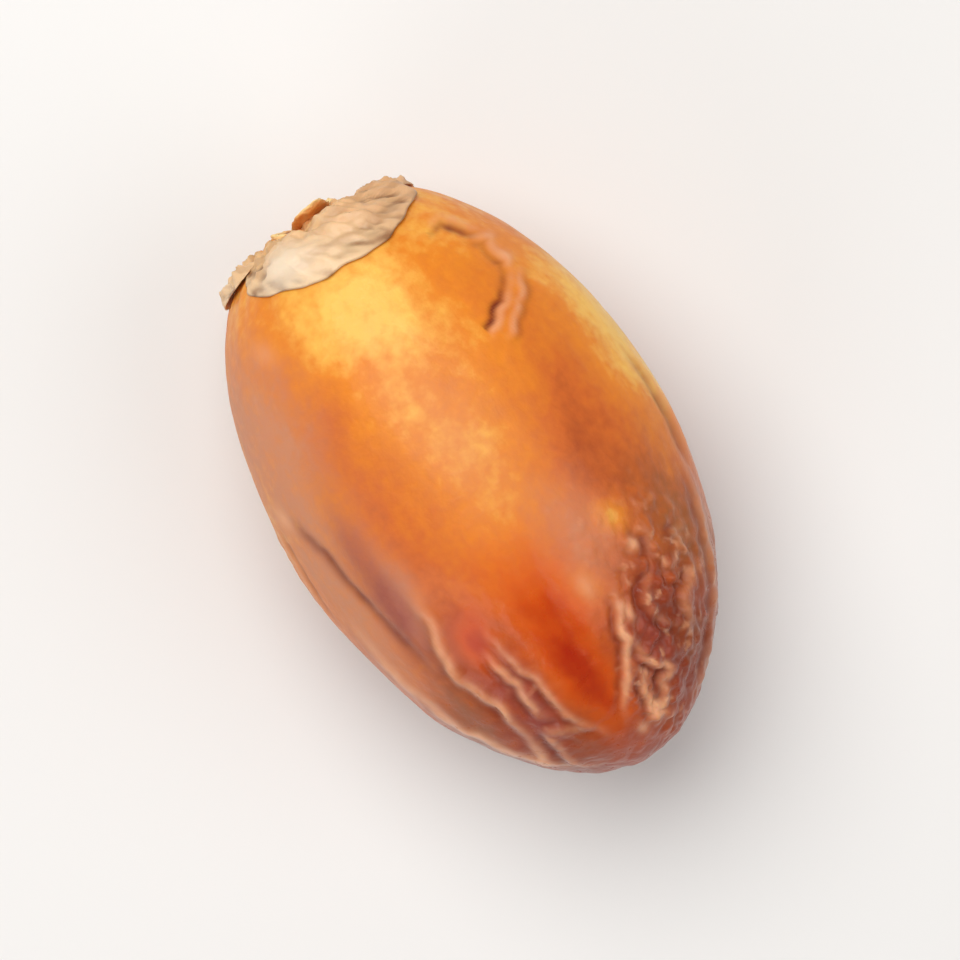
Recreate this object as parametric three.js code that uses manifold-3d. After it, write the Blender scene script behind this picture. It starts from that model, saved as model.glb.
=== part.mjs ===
// A semi-dry date, the fruit of the date palm, lying on its side as picked, with its calyx still on.
//
// Millimetres, +Z up. +X runs along the fruit from its calyx to its tip, and the origin is under the middle
// of the whole object, on the surface that it rests on. The fruit is one grown piece. The calyx is the three
// leathery petals that clasp the shoulder, and the little cup of joined sepals in their middle.
import * as THREE from "three";
import { mergeVertices } from "three/addons/utils/BufferGeometryUtils.js";
import Module from "manifold-3d";

// Driving dimensions of the fruit.
const FRUIT_LENGTH = 42.3; // from pole to pole, before the calyx has pressed its seat into one end
const FRUIT_WIDTH = 26.1;
const FRUIT_HEIGHT = 24.6;
const BOW = 0.5; // how far the fruit's middle stands to the +Y side of a straight line from end to end
const CALYX_END_POWER = 0.86; // under 1, the outline is fuller than an ellipse: the broad shoulder
const TIP_END_POWER = 1.1; // over 1, it is finer than an ellipse: the tip
const SEAT_DEPTH = 3.3; // the hollow that the calyx sits in
const SEAT_RADIUS = 4.5;
const REST_FLAT_DEPTH = 0.5; // how much of the underside its own weight has flattened

// Shallow lengthwise folds where the drying flesh has drawn in. turn is the angle round the fruit from its
// top towards +Y, spread is each fold's half width round it, and reach is how far it runs from the tip
// towards the calyx, as a share of the length. A fold deepens over FOLD_START of the length, and it fades
// out beyond FOLD_FADE.
const FOLDS = [
  { turn: -52, depth: 0.8, spread: 8, reach: 0.62 },
  { turn: 50, depth: 0.5, spread: 8, reach: 0.75 },
  { turn: 104, depth: 0.6, spread: 10, reach: 0.6 },
  { turn: 148, depth: 0.5, spread: 9, reach: 0.8 },
  { turn: -140, depth: 0.55, spread: 9, reach: 0.7 },
  { turn: -96, depth: 0.6, spread: 10, reach: 0.55 },
];
const FOLD_START = 0.3;
const FOLD_FADE = 0.8;

// Driving dimensions of the calyx.
const GAP = 0.3; // between neighbouring pieces
const LOBE_COUNT = 3; // a date's flower has three petals, and three sepals joined into one cup
const PETAL_THICKNESS = 0.45;
const PETAL_INNER_RADIUS = 1.6;
const PETAL_OUTER_RADII = [9.3, 7.6, 7.6]; // the petal on top reaches furthest over the shoulder
const PETAL_HALF_SPAN = 66; // degrees round the fruit's axis, so each petal laps over its neighbour
const PETAL_TILT = 0.1; // how high a petal's lapping edge stands, as a share of its distance from the axis
const PETAL_FLARE = 0.1; // how far a petal's rim curls away from the skin
const FIRST_PETAL_TURN = 8;
const CUP_RADIUS = 2.2;
const CUP_HEIGHT = 0.95;
const CUP_LOBE_HEIGHT = 0.4; // each lobe stands this share above the cup's mean height
const CUP_LOBE_SPREAD = 0.12; // and this share wider than its mean radius
const CUP_FIRST_LOBE_TURN = 10;
const CUP_TONGUE = 1.2; // the first lobe is a tongue over the top petal, this share longer than the others
const CUP_TONGUE_SPAN = 30; // degrees to each side of its middle
const CUP_OFFSET = 0.6; // how far the cup sits from the fruit's axis, on the side of its first lobe

// How finely the curved surfaces are divided.
const FRUIT_SECTORS = 48;
const FRUIT_RINGS = 34;
const PETAL_SECTORS = 28;
const PETAL_RINGS = 10;
const CUP_SECTORS = 48;

const SKIN = new THREE.MeshStandardMaterial({ color: 0xc97232, roughness: 0.42, metalness: 0 });
const PETAL = new THREE.MeshStandardMaterial({ color: 0xdcc094, roughness: 0.75, metalness: 0 });
const CUP = new THREE.MeshStandardMaterial({ color: 0xd39a58, roughness: 0.8, metalness: 0 });

const wasm = await Module();
wasm.setup();

const radians = THREE.MathUtils.degToRad;

/** The signed difference between two angles, in degrees, from -180 to 180. */
function angleBetween(a, b) {
  return THREE.MathUtils.euclideanModulo(a - b + 180, 360) - 180;
}

/** How deep the lengthwise folds are at one place on the fruit, in millimetres. */
function foldDepth(along, turn) {
  let depth = 0;
  for (const fold of FOLDS) {
    const across = angleBetween(turn, fold.turn) / fold.spread;
    const start = 1 - fold.reach;
    const run = THREE.MathUtils.smoothstep(along, start, start + FOLD_START);
    const fade = 1 - THREE.MathUtils.smoothstep(along, FOLD_FADE, 1);
    depth += fold.depth * run * fade * Math.exp(-across * across);
  }
  return depth;
}

/**
 * A point on the fruit's skin. polar is the angle from the calyx pole, 0, to the tip's, 180, and turn is the
 * angle round the fruit from its top towards +Y, both in degrees.
 */
function skinPoint(polar, turn) {
  const forward = -Math.cos(radians(polar));
  const along = (1 + forward) / 2;
  const power = THREE.MathUtils.lerp(CALYX_END_POWER, TIP_END_POWER, along);
  const girth = Math.pow(Math.max(Math.sin(radians(polar)), 0), power);
  const sunk = foldDepth(along, turn);
  const halfWidth = (girth * FRUIT_WIDTH) / 2 - sunk;
  const halfHeight = (girth * FRUIT_HEIGHT) / 2 - sunk;
  const fromAxis = (girth * FRUIT_WIDTH) / 2 / SEAT_RADIUS;
  const seat = along < 0.5 ? SEAT_DEPTH * Math.exp(-fromAxis * fromAxis) : 0;
  return new THREE.Vector3(
    (forward * FRUIT_LENGTH) / 2 + seat,
    Math.sin(radians(turn)) * halfWidth + BOW * girth * girth,
    Math.cos(radians(turn)) * halfHeight,
  );
}

/** The skin's outward normal at a place on the fruit, away from the poles. */
function skinNormal(polar, turn) {
  const step = 0.5;
  const forwards = skinPoint(polar + step, turn).sub(skinPoint(polar - step, turn));
  const round = skinPoint(polar, turn + step).sub(skinPoint(polar, turn - step));
  return forwards.cross(round).normalize();
}

/** The polar angle, in degrees, at which the calyx end of the fruit is this far from its axis. */
function polarAtRadius(radius) {
  const girth = radius / (FRUIT_WIDTH / 2);
  return THREE.MathUtils.radToDeg(Math.asin(Math.pow(girth, 1 / CALYX_END_POWER)));
}

/** A three.js geometry as a closed manifold solid. */
function solidOf(geometry) {
  const bare = geometry.clone();
  bare.deleteAttribute("normal");
  bare.deleteAttribute("uv");
  const merged = mergeVertices(bare, 1e-4);
  return new wasm.Manifold(
    new wasm.Mesh({
      numProp: 3,
      vertProperties: merged.attributes.position.array,
      triVerts: new Uint32Array(merged.index.array),
    }),
  );
}

/** A manifold solid as a three.js geometry. */
function geometryOf(solid) {
  const { vertProperties, triVerts } = solid.getMesh();
  const geometry = new THREE.BufferGeometry();
  geometry.setAttribute("position", new THREE.BufferAttribute(vertProperties, 3));
  geometry.setIndex(new THREE.BufferAttribute(triVerts, 1));
  geometry.computeVertexNormals();
  return geometry;
}

/** A geometry with each of its vertices moved to place(vertex). */
function reshaped(geometry, place) {
  const positions = geometry.attributes.position;
  const vertex = new THREE.Vector3();
  for (let i = 0; i < positions.count; i++) {
    const placed = place(vertex.fromBufferAttribute(positions, i));
    positions.setXYZ(i, placed.x, placed.y, placed.z);
  }
  geometry.computeVertexNormals();
  return geometry;
}

/** The fruit: a ball drawn out into the date's form, with the flat that it rests on cut from underneath. */
function fruitGeometry() {
  const ball = new THREE.SphereGeometry(1, FRUIT_SECTORS, FRUIT_RINGS).rotateZ(Math.PI / 2);
  const body = reshaped(ball, ({ x, y, z }) => {
    const polar = THREE.MathUtils.radToDeg(Math.acos(THREE.MathUtils.clamp(-x, -1, 1)));
    return skinPoint(polar, THREE.MathUtils.radToDeg(Math.atan2(y, z)));
  });
  body.computeBoundingBox();
  const flatHeight = body.boundingBox.min.z + REST_FLAT_DEPTH;
  const below = new THREE.BoxGeometry(FRUIT_LENGTH, FRUIT_WIDTH, FRUIT_HEIGHT);
  below.translate(0, 0, flatHeight - FRUIT_HEIGHT / 2);
  return geometryOf(solidOf(body).subtract(solidOf(below)));
}

/** How far a petal is raised at one place. across runs from -1 at its lapping edge to 1 at its lapped one. */
function petalTilt(across, radius) {
  return (PETAL_TILT * (1 - across) * radius) / 2;
}

/**
 * One petal: a thin scale that follows the skin of the shoulder. It rises from one side edge to the other, so
 * that it laps over the next petal like a vane of a pinwheel, and its rim curls a little away from the fruit.
 */
function petalGeometry(middleTurn, outerRadius) {
  const ball = new THREE.SphereGeometry(1, PETAL_SECTORS, PETAL_RINGS);
  return reshaped(ball, ({ x, y, z }) => {
    const radius = THREE.MathUtils.lerp(PETAL_INNER_RADIUS, outerRadius, (1 + y) / 2);
    const polar = polarAtRadius(radius);
    const turn = middleTurn - PETAL_HALF_SPAN * x;
    const curl = PETAL_FLARE * THREE.MathUtils.smoothstep(y, 0, 1);
    const height = GAP + petalTilt(x, radius) + curl + (PETAL_THICKNESS * (1 + z)) / 2;
    return skinPoint(polar, turn).addScaledVector(skinNormal(polar, turn), height);
  });
}

/** The outline of the cup's section, from the middle of its base round its rim to the middle of its floor. */
function cupSection() {
  const shares = [
    [0, 0],
    [0.5, 0],
    [0.82, 0.25],
    [1, 0.62],
    [1, 0.88],
    [0.9, 1],
    [0.78, 0.94],
    [0.66, 0.66],
    [0.45, 0.45],
    [0, 0.38],
  ];
  return shares.map(([across, up]) => new THREE.Vector2(across * CUP_RADIUS, up * CUP_HEIGHT));
}

/** The cup of joined sepals: a thick shallow dish with three lobes, the first one longest, open to -X. */
function cupGeometry() {
  const dish = new THREE.LatheGeometry(cupSection(), CUP_SECTORS);
  return reshaped(dish, (vertex) => {
    const turn = THREE.MathUtils.radToDeg(Math.atan2(vertex.x, vertex.z));
    const fromFirst = angleBetween(turn, CUP_FIRST_LOBE_TURN);
    const lobe = Math.cos(LOBE_COUNT * radians(fromFirst));
    const tongue = CUP_TONGUE * Math.exp(-Math.pow(fromFirst / CUP_TONGUE_SPAN, 2));
    const up = vertex.y / CUP_HEIGHT;
    const height = vertex.y * (1 + CUP_LOBE_HEIGHT * lobe * up);
    const spread = 1 + (CUP_LOBE_SPREAD * lobe + tongue) * up;
    return new THREE.Vector3(-height, vertex.x * spread, vertex.z * spread);
  });
}

/** A named mesh, which is one node of the part. */
function piece(name, geometry, material) {
  const mesh = new THREE.Mesh(geometry, material);
  mesh.name = name;
  return mesh;
}

/** The three petals, evenly round the fruit's axis. */
function petals() {
  return PETAL_OUTER_RADII.map((outerRadius, index) => {
    const middleTurn = FIRST_PETAL_TURN + (index * 360) / LOBE_COUNT;
    return piece(`petal_${index + 1}`, petalGeometry(middleTurn, outerRadius), PETAL);
  });
}

/** The sepal cup, near the fruit's axis and just clear of the raised edges of the petals. */
function sepalCup() {
  const cup = piece("sepal_cup", cupGeometry(), CUP);
  const baseRadius = CUP_OFFSET + CUP_RADIUS / 2;
  const turn = radians(CUP_FIRST_LOBE_TURN);
  const seatFace = skinPoint(polarAtRadius(baseRadius), 0).x;
  cup.position.x = seatFace - GAP - petalTilt(-1, baseRadius) - PETAL_THICKNESS - GAP;
  cup.position.y = CUP_OFFSET * Math.sin(turn);
  cup.position.z = CUP_OFFSET * Math.cos(turn);
  return cup;
}

const date = new THREE.Group();
date.add(piece("fruit", fruitGeometry(), SKIN), ...petals(), sepalCup());

// The origin goes under the middle of the whole object, on the plane of the rest flat.
const extent = new THREE.Box3().setFromObject(date);
const middle = extent.getCenter(new THREE.Vector3());
const part = new THREE.Group();
date.position.set(-middle.x, -middle.y, -extent.min.z);
part.add(date);

export default part;
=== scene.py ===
"""A semi-dry date lying on its side, with its dry calyx of three petals and a sepal cup still on one end.

The fruit, the three petals and the sepal cup are each one closed mesh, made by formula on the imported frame.
Every size is in millimetres until a mesh is made, and +X runs from the calyx to the tip, with +Z up.
"""

from __future__ import annotations

import itertools
import logging
import math
from dataclasses import dataclass, field
from enum import Enum
from typing import Any, Union

import bpy
import numpy as np
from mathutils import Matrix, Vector


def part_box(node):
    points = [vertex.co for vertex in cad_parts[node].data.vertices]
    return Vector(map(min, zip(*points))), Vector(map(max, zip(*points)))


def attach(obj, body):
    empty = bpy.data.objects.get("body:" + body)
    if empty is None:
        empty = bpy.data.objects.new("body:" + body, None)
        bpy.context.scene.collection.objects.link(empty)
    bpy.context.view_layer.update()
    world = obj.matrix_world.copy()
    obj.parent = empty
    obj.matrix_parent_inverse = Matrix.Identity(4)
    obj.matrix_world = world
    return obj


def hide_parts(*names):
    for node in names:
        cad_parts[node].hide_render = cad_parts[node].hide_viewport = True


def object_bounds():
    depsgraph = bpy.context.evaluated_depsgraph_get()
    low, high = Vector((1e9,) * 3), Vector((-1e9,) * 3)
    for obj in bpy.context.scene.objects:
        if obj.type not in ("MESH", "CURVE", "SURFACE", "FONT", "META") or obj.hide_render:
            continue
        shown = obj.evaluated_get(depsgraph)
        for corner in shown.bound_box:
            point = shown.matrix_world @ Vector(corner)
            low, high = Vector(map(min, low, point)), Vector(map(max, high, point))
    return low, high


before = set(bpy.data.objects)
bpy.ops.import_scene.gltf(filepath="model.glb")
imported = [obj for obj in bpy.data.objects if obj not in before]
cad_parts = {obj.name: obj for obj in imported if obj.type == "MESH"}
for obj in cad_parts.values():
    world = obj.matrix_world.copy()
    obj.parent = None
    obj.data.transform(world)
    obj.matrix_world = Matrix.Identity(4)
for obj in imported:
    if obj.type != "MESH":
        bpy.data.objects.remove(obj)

LOG = logging.getLogger("date")
METRES = 0.001
CAD_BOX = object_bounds()
PETAL_OUTER_RADII = (9.3, 7.6, 7.6)

Colour = tuple[float, float, float]
Number = Union[float, "Wire"]
Masks = dict[str, np.ndarray]


def srgb(red: int, green: int, blue: int) -> Colour:
    """Turns a screen colour into the linear one that a shader takes.

    Args:
        red: From 0 to 255, as are green and blue.
        green: See red.
        blue: See red.

    Returns:
        The linear red, green and blue, from 0 to 1.
    """
    shares = (red / 255, green / 255, blue / 255)
    return tuple(s / 12.92 if s <= 0.04045 else ((s + 0.055) / 1.055) ** 2.4 for s in shares)


def ease(low: float, high: float, value: np.ndarray) -> np.ndarray:
    """Rises smoothly from 0 at low to 1 at high.

    Args:
        low: Where the rise starts.
        high: Where it ends; under low, the result falls instead.
        value: The values to look up.

    Returns:
        One share from 0 to 1 for each value.
    """
    share = np.clip((value - low) / (high - low), 0, 1)
    return share * share * (3 - 2 * share)


def bell(offset: np.ndarray, width: float) -> np.ndarray:
    """Gives a smooth hump, 1 at offset 0 and almost 0 two widths away."""
    return np.exp(-((offset / width) ** 2))


@dataclass(frozen=True)
class Waves:
    """Smooth random waves in space, the same on every run.

    Attributes:
        seed: Which pattern it is.
        size: How long the waves are along X, Y and Z, in millimetres.
        count: How many layers there are, each twice as fine as the last.
        gain: Each layer's strength as a share of the last one's.
    """

    seed: int
    size: tuple[float, float, float] = (1, 1, 1)
    count: int = 2
    gain: float = 0.5

    def at(self, places: np.ndarray, bend: np.ndarray | float = 0.0) -> np.ndarray:
        """Gives the waves' height at each place.

        Args:
            places: One row of x, y, z for each place, in millimetres.
            bend: How far each place is moved first, in waves.

        Returns:
            One height for each place; a single layer's runs from about -1 to 1.
        """
        points = places / self.size + bend
        total = np.zeros(len(points))
        for layer in range(self.count):
            total += self.gain**layer * self._layer(self.seed + layer, points * 2**layer)
        return total

    @staticmethod
    def _layer(seed: int, points: np.ndarray) -> np.ndarray:
        """Gives one layer: a random slope at each corner of a grid of cubes, blended smoothly inside."""
        count, strength = 512, 1.6
        rng = np.random.default_rng(seed)
        slopes = rng.normal(size=(count, 3))
        slopes /= np.linalg.norm(slopes, axis=1)[:, None]
        order = rng.permutation(count)
        cell = np.floor(points).astype(int)
        inside = points - cell
        soft = inside**3 * (inside * (inside * 6 - 15) + 10)
        total = np.zeros(len(points))
        for corner in itertools.product((0, 1), repeat=3):
            step = np.array(corner)
            where = (cell + step) % count
            pick = order[(order[(order[where[:, 0]] + where[:, 1]) % count] + where[:, 2]) % count]
            weight = np.prod(np.where(step == 1, soft, 1 - soft), axis=1)
            total += weight * np.einsum("ij,ij->i", slopes[pick], inside - step)
        return total * strength


def mesh_piece(name: str, points: np.ndarray, faces: list[tuple[int, ...]], masks: Masks) -> bpy.types.Object:
    """Makes a smooth-shaded mesh object.

    Args:
        name: The piece's name.
        points: One row of x, y, z for each vertex, in millimetres.
        faces: The vertex numbers of each face.
        masks: A named value for each vertex, which the piece's material reads.

    Returns:
        The new object, linked to the scene.
    """
    mesh = bpy.data.meshes.new(name)
    mesh.from_pydata((points * METRES).tolist(), [], faces)
    mesh.shade_smooth()
    for mask, values in masks.items():
        layer = mesh.attributes.new(mask, "FLOAT", "POINT")
        layer.data.foreach_set("value", values.astype(np.float32))
    mesh.update()
    piece = bpy.data.objects.new(name, mesh)
    bpy.context.scene.collection.objects.link(piece)
    return piece


def ring_faces(rings: int, sectors: int) -> list[tuple[int, ...]]:
    """Joins rings of vertices, with one vertex before the first and one after the last, into a closed skin.

    Args:
        rings: How many rings there are.
        sectors: How many vertices each ring has.

    Returns:
        The faces, for vertices numbered from the first pole, ring by ring, to the last pole.
    """
    last = 1 + rings * sectors
    faces: list[tuple[int, ...]] = []
    for sector in range(sectors):
        after = (sector + 1) % sectors
        faces.append((0, 1 + after, 1 + sector))
        for ring in range(rings - 1):
            here, there = 1 + ring * sectors, 1 + (ring + 1) * sectors
            faces.append((here + sector, here + after, there + after, there + sector))
        here = last - sectors
        faces.append((last, here + sector, here + after))
    return faces


# --- Shader maths ---------------------------------------------------------------------------------


class Wire:
    """The value from one output socket, which Python expressions can use as a number."""

    def __init__(self, sheet: "MaterialSheet", socket: bpy.types.NodeSocket) -> None:
        """Keeps the socket and the sheet that it is on."""
        self.sheet = sheet
        self.socket = socket

    def __add__(self, other: Number) -> "Wire":
        """Adds."""
        return self.sheet.maths("ADD", self, other)

    __radd__ = __add__

    def __mul__(self, other: Number) -> "Wire":
        """Multiplies."""
        return self.sheet.maths("MULTIPLY", self, other)

    __rmul__ = __mul__

    def __sub__(self, other: Number) -> "Wire":
        """Takes other away."""
        return self.sheet.maths("SUBTRACT", self, other)

    def __rsub__(self, other: Number) -> "Wire":
        """Takes this away from other."""
        return self.sheet.maths("SUBTRACT", other, self)

    def held(self) -> "Wire":
        """Holds the value between 0 and 1."""
        return self.sheet.node("ShaderNodeClamp", {}, {"Value": self})


class MaterialSheet:
    """A material's node tree, with short ways to add to it."""

    def __init__(self, name: str) -> None:
        """Starts a material.

        Args:
            name: The material's name.
        """
        self.material = bpy.data.materials.new(name)
        self.material.use_nodes = True
        self.tree = self.material.node_tree
        self.shader = self.tree.nodes["Principled BSDF"]

    def node(self, kind: str, settings: dict[str, Any], values: dict[str, Any], output: str = "") -> Wire:
        """Adds one node.

        Args:
            kind: The node's type.
            settings: Its own settings, set first. "stops" is a colour ramp's list of place and colour.
            values: A value or a Wire for each input, by the input's name or its number.
            output: The name of the output wanted, or nothing for the first one in use.

        Returns:
            The output's wire.
        """
        made = self.tree.nodes.new(kind)
        for name, value in settings.items():
            if name == "stops":
                self._set_stops(made.color_ramp, value)
            else:
                setattr(made, name, value)
        for name, value in values.items():
            self.feed(self._input(made, name), value)
        found = next(s for s in made.outputs if s.enabled and output in ("", s.name))
        return Wire(self, found)

    @staticmethod
    def _input(made: bpy.types.Node, name: str | int) -> bpy.types.NodeSocket:
        """Finds an input in use by its name, or by its number among the node's inputs."""
        if isinstance(name, int):
            return made.inputs[name]
        return next(s for s in made.inputs if s.enabled and s.name == name)

    @staticmethod
    def _set_stops(ramp: bpy.types.ColorRamp, stops: list[tuple[float, Colour]]) -> None:
        """Gives a colour ramp its stops."""
        while len(ramp.elements) < len(stops):
            ramp.elements.new(1)
        for element, (place, colour) in zip(ramp.elements, stops):
            element.position = place
            element.color = (*colour, 1)

    def feed(self, socket: bpy.types.NodeSocket, value: Any) -> None:
        """Sets an input to a value, or links a wire to it.

        Args:
            socket: The input.
            value: A number, a colour, a vector or a Wire.
        """
        if isinstance(value, Wire):
            self.tree.links.new(value.socket, socket)
        elif isinstance(value, tuple) and socket.type == "RGBA":
            socket.default_value = (*value, 1)
        else:
            socket.default_value = value

    def maths(self, operation: str, first: Number, second: Number) -> Wire:
        """Adds a Math node of two numbers."""
        return self.node("ShaderNodeMath", {"operation": operation}, {0: first, 1: second})

    def mask(self, name: str) -> Wire:
        """Reads a named value that the mesh holds for each vertex."""
        return self.node("ShaderNodeAttribute", {"attribute_name": name}, {}, "Fac")

    def place(self, stretch: Colour = (1, 1, 1)) -> Wire:
        """Gives the surface's own place in millimetres, so that a texture stays on it.

        Args:
            stretch: How much finer a texture is along X, Y and Z.

        Returns:
            The place's wire.
        """
        own = self.node("ShaderNodeTexCoord", {}, {}, "Object")
        finer = tuple(s / METRES for s in stretch)
        return self.node("ShaderNodeVectorMath", {"operation": "MULTIPLY"}, {0: own, 1: finer})

    def waves(self, scale: float, detail: float, stretch: Colour = (1, 1, 1)) -> Wire:
        """Gives smooth random values from 0 to 1.

        Args:
            scale: Waves in each millimetre.
            detail: How many finer layers are added.
            stretch: How much finer they are along X, Y and Z.

        Returns:
            The values' wire.
        """
        return self.node(
            "ShaderNodeTexNoise", {}, {"Vector": self.place(stretch), "Scale": scale, "Detail": detail}
        )

    def mix(self, share: Number, first: Any, second: Any) -> Wire:
        """Mixes two colours: first where share is 0, second where it is 1."""
        return self.node(
            "ShaderNodeMix", {"data_type": "RGBA"}, {"Factor": share, "A": first, "B": second}, "Result"
        )

    def ramp(self, value: Wire, stops: list[tuple[float, Colour]]) -> Wire:
        """Looks a value up in a row of colours."""
        return self.node("ShaderNodeValToRGB", {"stops": stops}, {0: value}, "Color")

    def finish(self, **inputs: Any) -> bpy.types.Material:
        """Sets the shader's own inputs.

        Args:
            inputs: A value or a Wire for each input, by its name with _ for a space.

        Returns:
            The finished material.
        """
        for name, value in inputs.items():
            self.feed(self.shader.inputs[name.replace("_", " ")], value)
        return self.material


# --- Finishes -------------------------------------------------------------------------------------


@dataclass(frozen=True)
class SkinFinish:
    """Amber skin over soft flesh: golden at the shoulder, red-brown at the tip, milky where it is loose, with
    painted sheen, painted highlights on the fold crests and painted shade in their hollows.

    Attributes:
        ripening: The row of colours from the palest shoulder to the darkest tip.
        loose: Skin that has lifted off the flesh, milky; over the middle of the body and on the swelling of
            the long fold this milky colour is a painted sheen.
        dry: Skin that has dried to a dull film.
        bruised: A dull purple skin tone, which along the long fold is a painted sheen.
        jelly: Clear deep flesh where it is thin, and where it is thick.
        groove: Painted shade in the bottoms of the folds and of the flute valleys.
        crest: The thin edges of the folds: partly their own paler skin and partly a painted highlight. The
            same colour paints glints on crinkled skin and at pale specks.
        gloss: The clear coat's strength at the calyx end, and how much more the tip has.
    """

    ripening: tuple[tuple[float, Colour], ...] = (
        (0.0, srgb(246, 192, 90)),
        (0.2, srgb(228, 134, 38)),
        (0.45, srgb(206, 104, 42)),
        (0.7, srgb(156, 62, 30)),
        (1.0, srgb(112, 34, 16)),
    )
    loose: Colour = srgb(204, 136, 100)
    dry: Colour = srgb(152, 92, 50)
    bruised: Colour = srgb(146, 70, 64)
    jelly: tuple[Colour, Colour] = (srgb(214, 88, 14), srgb(170, 38, 2))
    groove: Colour = srgb(118, 36, 14)
    crest: Colour = srgb(230, 164, 122)
    gloss: tuple[float, float] = (0.06, 0.14)

    def material(self) -> bpy.types.Material:
        """Builds the skin's material."""
        sheet = MaterialSheet("date_skin")
        blotches = sheet.waves(0.2, 3)
        streaks = sheet.waves(0.6, 4, (0.4, 1, 1))
        mottle = sheet.waves(1.3, 4)
        grain = sheet.waves(3.2, 4)
        unevenness = 0.2 * (blotches - 0.5) + 0.14 * (streaks - 0.5) + 0.24 * (mottle - 0.5)
        colour = sheet.ramp((sheet.mask("ripeness") + unevenness).held(), list(self.ripening))
        # Milky loose skin: its own colour, and in places a painted sheen.
        loose = (sheet.mask("loose") * (0.1 + 0.6 * streaks + 1.2 * mottle)).held()
        colour = sheet.mix(loose, colour, self.loose)
        colour = sheet.mix((sheet.mask("dry") * (0.1 + 1.3 * mottle)).held(), colour, self.dry)
        # Mauve skin tone, and along the long fold a painted sheen.
        mauve_and_sheen_share = (sheet.mask("bruised") * (0.4 + 0.6 * streaks + 0.5 * mottle)).held()
        colour = sheet.mix(mauve_and_sheen_share, colour, self.bruised)
        thick = (sheet.mask("jelly") * 1.6 - 0.7 + 0.6 * (streaks - 0.5)).held()
        jelly = sheet.mix(thick, *self.jelly)
        colour = sheet.mix((sheet.mask("jelly") * 1.5).held(), colour, jelly)
        # Painted shade in the crease hollows and the flute valleys.
        colour = sheet.mix(sheet.mask("groove"), colour, self.groove)
        # Pale crests, partly a painted highlight, and painted glints.
        colour = sheet.mix((sheet.mask("crest") * (0.6 + 0.8 * mottle)).held(), colour, self.crest)
        glossy = sheet.mask("glossy")
        roughness = (0.4 - 0.1 * glossy + 0.15 * loose + 0.2 * (mottle - 0.5)).held()
        pores = sheet.node("ShaderNodeBump", {}, {"Strength": 0.3, "Distance": 0.00006, "Height": grain})
        normal = sheet.node(
            "ShaderNodeBump", {}, {"Strength": 0.4, "Distance": 0.00016, "Height": mottle, "Normal": pores}
        )
        return sheet.finish(
            Base_Color=colour,
            Roughness=roughness,
            Normal=normal,
            IOR=1.45,
            Coat_Weight=(self.gloss[0] + self.gloss[1] * glossy).held(),
            Coat_Roughness=0.14,
            Specular_IOR_Level=0.2,
            Subsurface_Weight=0.25,
            Subsurface_Radius=(1.0, 0.34, 0.1),
            Subsurface_Scale=0.0016,
        )


@dataclass(frozen=True)
class PetalFinish:
    """Dry papery scale: cream at its rim, straw and orange towards its base.

    Attributes:
        rim: The free edge.
        blade: The middle.
        base: The end under the sepal cup.
        dull: Painted shade, duller and greyer towards the calyx's +Y side.
        fold_shade: Painted shade in the bottoms of its wrinkles.
        bleached: The one smooth white lump.
    """

    rim: Colour = srgb(232, 196, 154)
    blade: Colour = srgb(226, 178, 122)
    base: Colour = srgb(226, 144, 70)
    dull: Colour = srgb(218, 170, 124)
    fold_shade: Colour = srgb(134, 84, 46)
    bleached: Colour = srgb(238, 220, 196)

    def material(self) -> bpy.types.Material:
        """Builds the petals' material."""
        sheet = MaterialSheet("dry_petal")
        blotches = sheet.waves(0.5, 3)
        fibres = sheet.waves(2.2, 3, (1, 0.6, 0.6))
        outward = (sheet.mask("outward") + 0.4 * (blotches - 0.5)).held()
        colour = sheet.ramp(outward, [(0.15, self.base), (0.45, self.blade), (0.85, self.rim)])
        # Painted shade over the calyx's +Y side.
        colour = sheet.mix((sheet.mask("dull") * (0.3 + 1.2 * blotches)).held(), colour, self.dull)
        # Painted shade in the hollows of the folds.
        colour = sheet.mix((sheet.mask("hollow") * (0.5 + 0.6 * fibres)).held(), colour, self.fold_shade)
        colour = sheet.mix(sheet.mask("bleached"), colour, self.bleached)
        height = sheet.node("ShaderNodeBump", {}, {"Strength": 0.6, "Distance": 0.00014, "Height": fibres})
        return sheet.finish(
            Base_Color=colour,
            Roughness=(0.3 + 0.35 * fibres - 0.15 * sheet.mask("bleached")).held(),
            Normal=height,
            Subsurface_Weight=0.2,
            Subsurface_Radius=(1.0, 0.6, 0.3),
            Subsurface_Scale=0.0006,
        )


@dataclass(frozen=True)
class CupFinish:
    """Woody orange sepal cup, with a cream scar in its hollow.

    Attributes:
        wall: The lumpy outside.
        lip: The rounded edge, pale of its own, with a painted highlight along it.
        hollow: The shaded inside.
        scar: Torn fibres in the middle.
    """

    wall: Colour = srgb(228, 136, 48)
    lip: Colour = srgb(250, 216, 150)
    hollow: Colour = srgb(150, 82, 40)
    scar: Colour = srgb(252, 226, 166)

    def material(self) -> bpy.types.Material:
        """Builds the cup's material."""
        sheet = MaterialSheet("sepal_cup")
        blotches = sheet.waves(0.7, 3)
        grain = sheet.waves(3.0, 4)
        colour = sheet.mix((1.4 * blotches - 0.4).held(), self.wall, self.lip)
        # The pale lip, with a painted highlight along the rounded edge.
        colour = sheet.mix(sheet.mask("lip"), colour, self.lip)
        colour = sheet.mix((sheet.mask("hollow") * (0.5 + blotches)).held(), colour, self.hollow)
        colour = sheet.mix(sheet.mask("scar"), colour, self.scar)
        height = sheet.node("ShaderNodeBump", {}, {"Strength": 0.6, "Distance": 0.0002, "Height": grain})
        return sheet.finish(
            Base_Color=colour,
            Roughness=(0.45 + 0.3 * grain).held(),
            Normal=height,
            Subsurface_Weight=0.15,
            Subsurface_Radius=(1.0, 0.5, 0.2),
            Subsurface_Scale=0.0006,
        )


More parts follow.
